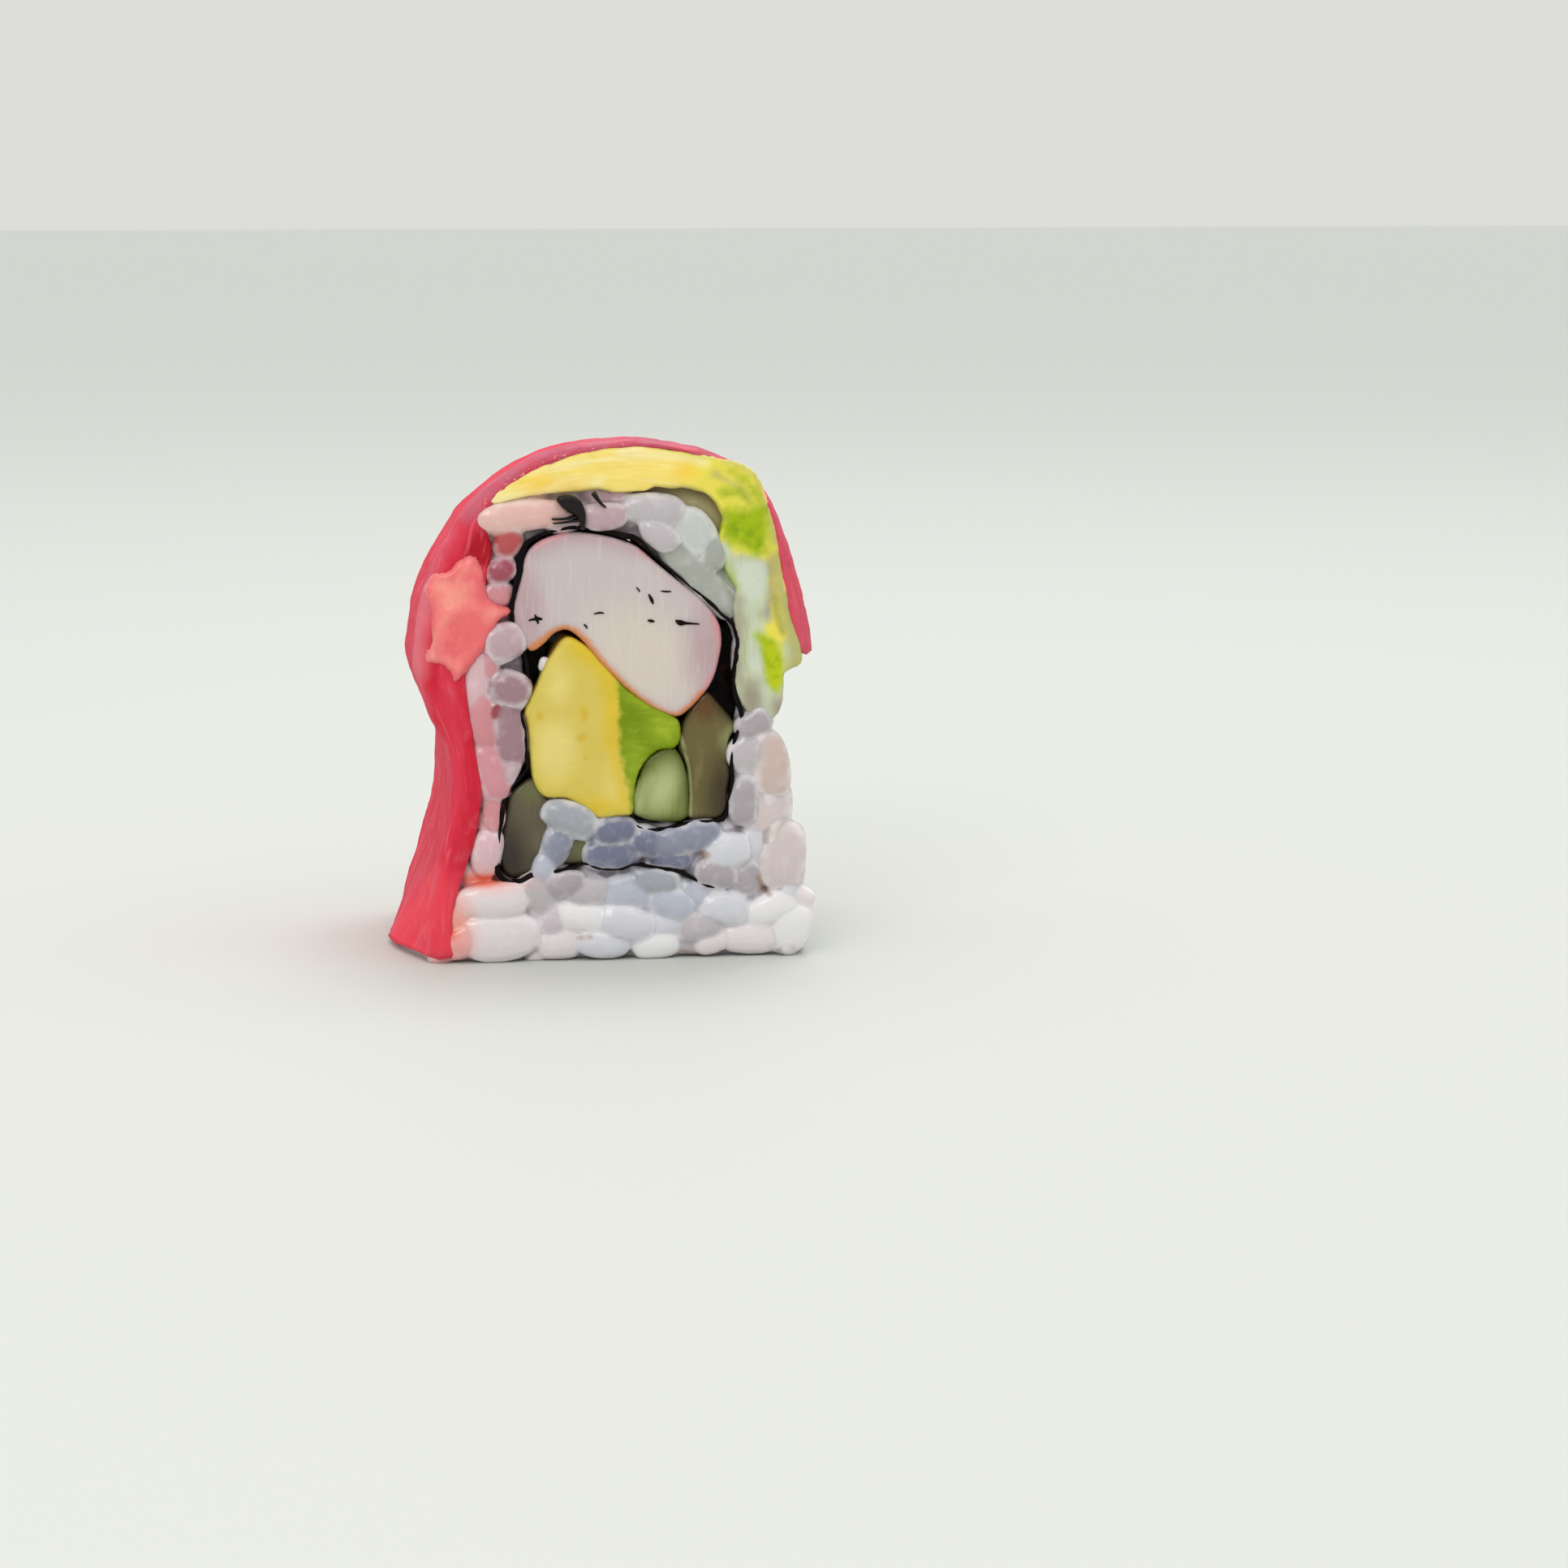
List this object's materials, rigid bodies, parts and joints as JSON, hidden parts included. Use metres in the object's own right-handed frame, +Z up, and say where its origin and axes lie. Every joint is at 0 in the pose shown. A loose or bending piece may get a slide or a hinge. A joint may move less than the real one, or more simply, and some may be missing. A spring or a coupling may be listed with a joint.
{
  "type": "rainbow roll piece",
  "caption": "Cut piece of an inside-out sushi roll, with tuna and avocado over rice and a nori spiral round crab stick, avocado and cucumber.",
  "frame": {"origin": "middle of the bounding box at the flat base that the piece stands on", "axes": "+Z up, -Y towards the front cut face, +X to the right when the front cut is faced"},
  "size_m": [0.038, 0.0292, 0.0468],
  "materials": {
    "tuna": "moist raw fish, soft gloss",
    "avocado": "ripe avocado flesh, yellow to green, soft sheen",
    "nori": "dried seaweed sheet, black, moist at the cut",
    "rice": "cooked short-grain rice, slightly see-through, sticky sheen",
    "crab": "white crab stick with fine fibres and an orange rim",
    "cucumber": "cucumber flesh, pale green to dark olive, moist"
  },
  "bodies": {
    "root": {"tuna": "tuna", "avocado_slice": "avocado", "nori": "nori", "rice": "rice", "crab_stick": "crab", "avocado_wedge": "avocado", "cucumber_green": "cucumber", "cucumber_pale": "cucumber", "cucumber_corner": "cucumber"}
  },
  "joints": []
}
